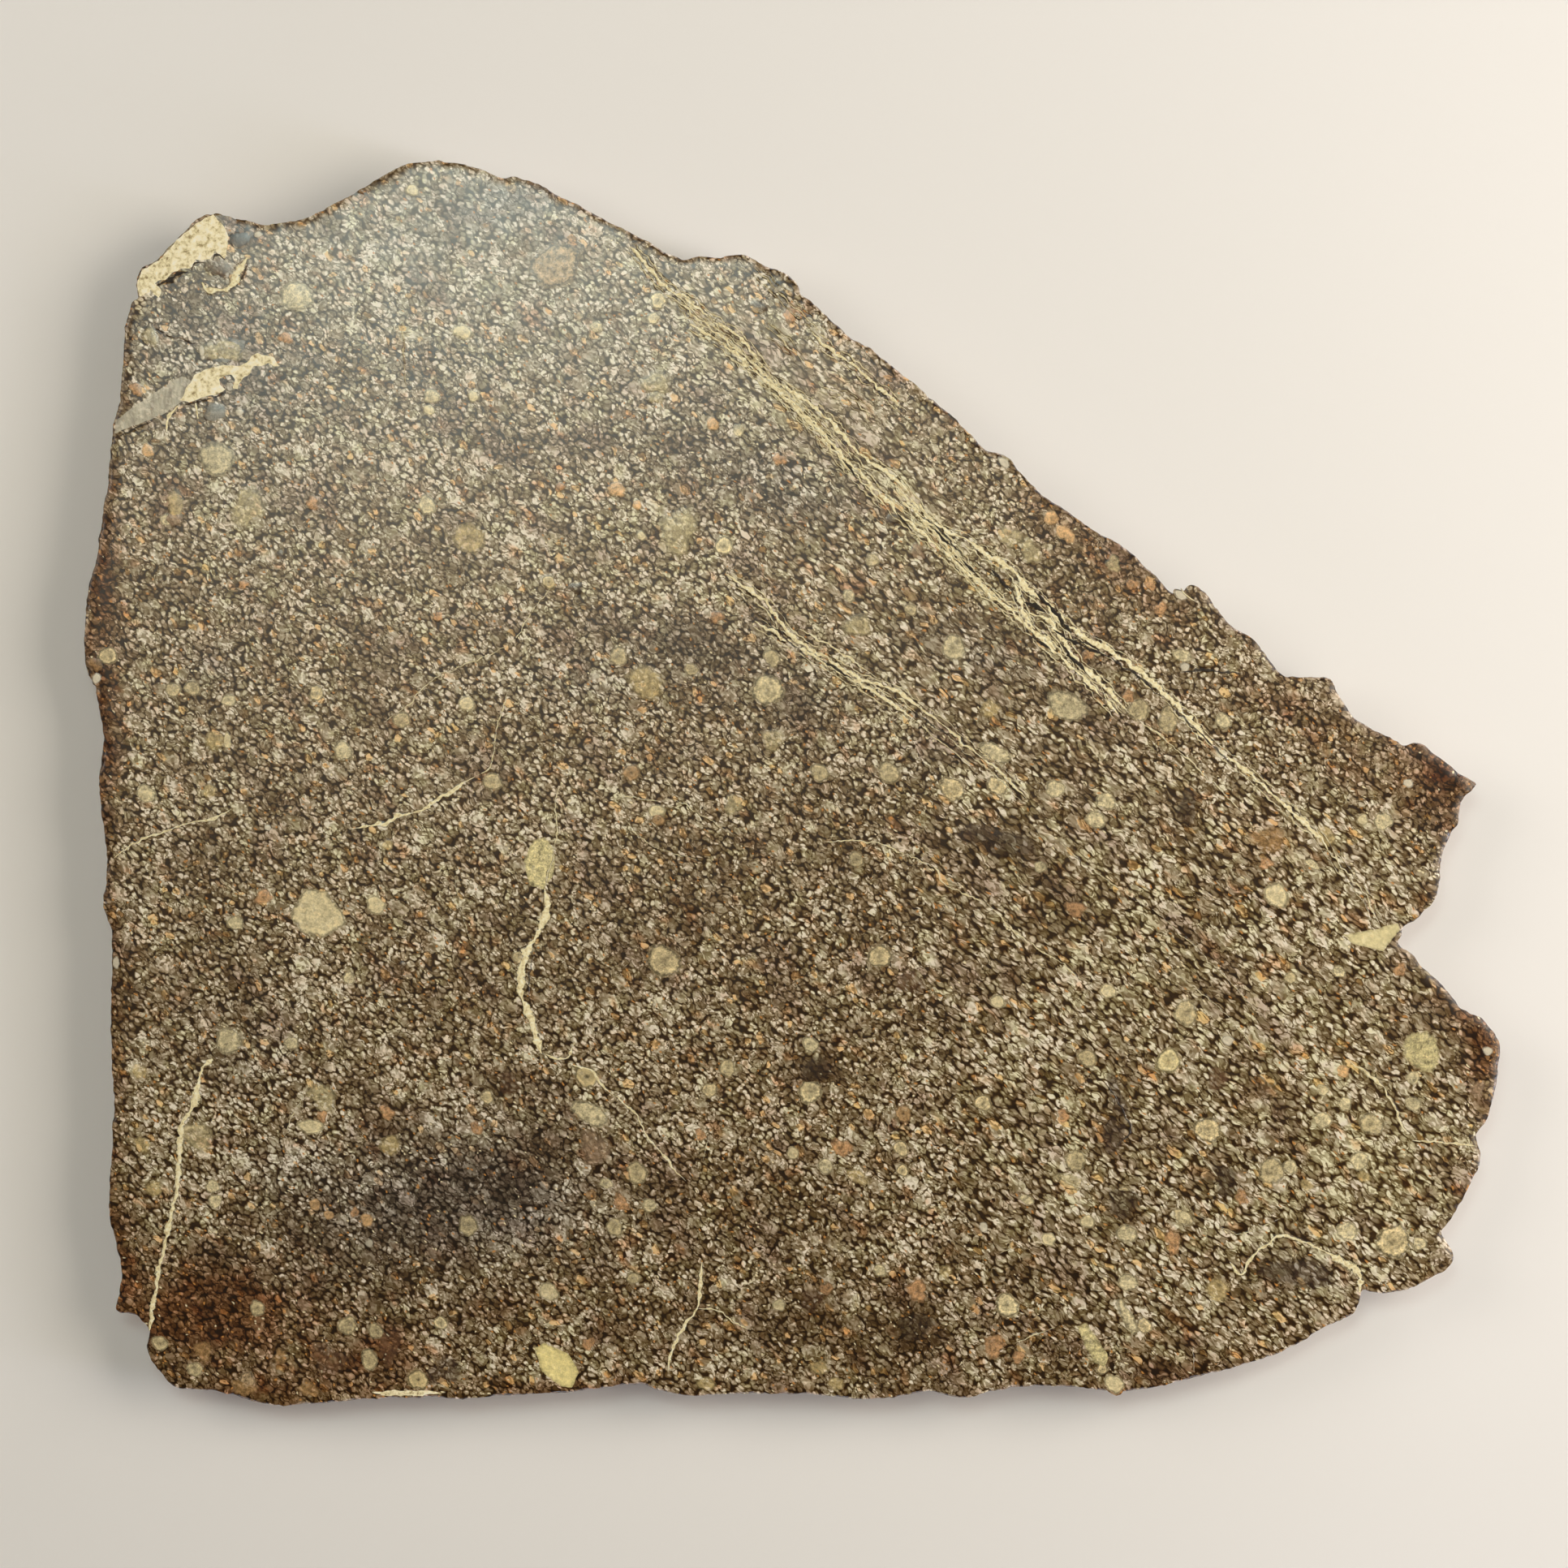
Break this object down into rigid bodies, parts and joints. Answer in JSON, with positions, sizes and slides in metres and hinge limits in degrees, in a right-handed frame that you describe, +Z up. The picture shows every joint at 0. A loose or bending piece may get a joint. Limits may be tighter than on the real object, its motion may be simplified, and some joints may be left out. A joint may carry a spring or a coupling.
{
  "type": "chondrite meteorite slice",
  "caption": "Flat sawn slice of a stony meteorite, polished on its upper face, packed with chondrules and crossed by pale veins, with a natural weathered rim.",
  "frame": {"origin": "middle of the slice's bounding box, on the lapped underside that it rests on", "axes": "+Z up through the thickness, out of the polished face; +X along the slice's long side, towards its two lobes; +Y towards the pale crusted corner's end"},
  "size_m": [0.13, 0.1142, 0.006],
  "materials": {
    "chondrite": "polished, semi-gloss"
  },
  "bodies": {
    "root": {"meteorite_slice": "chondrite"}
  },
  "joints": []
}
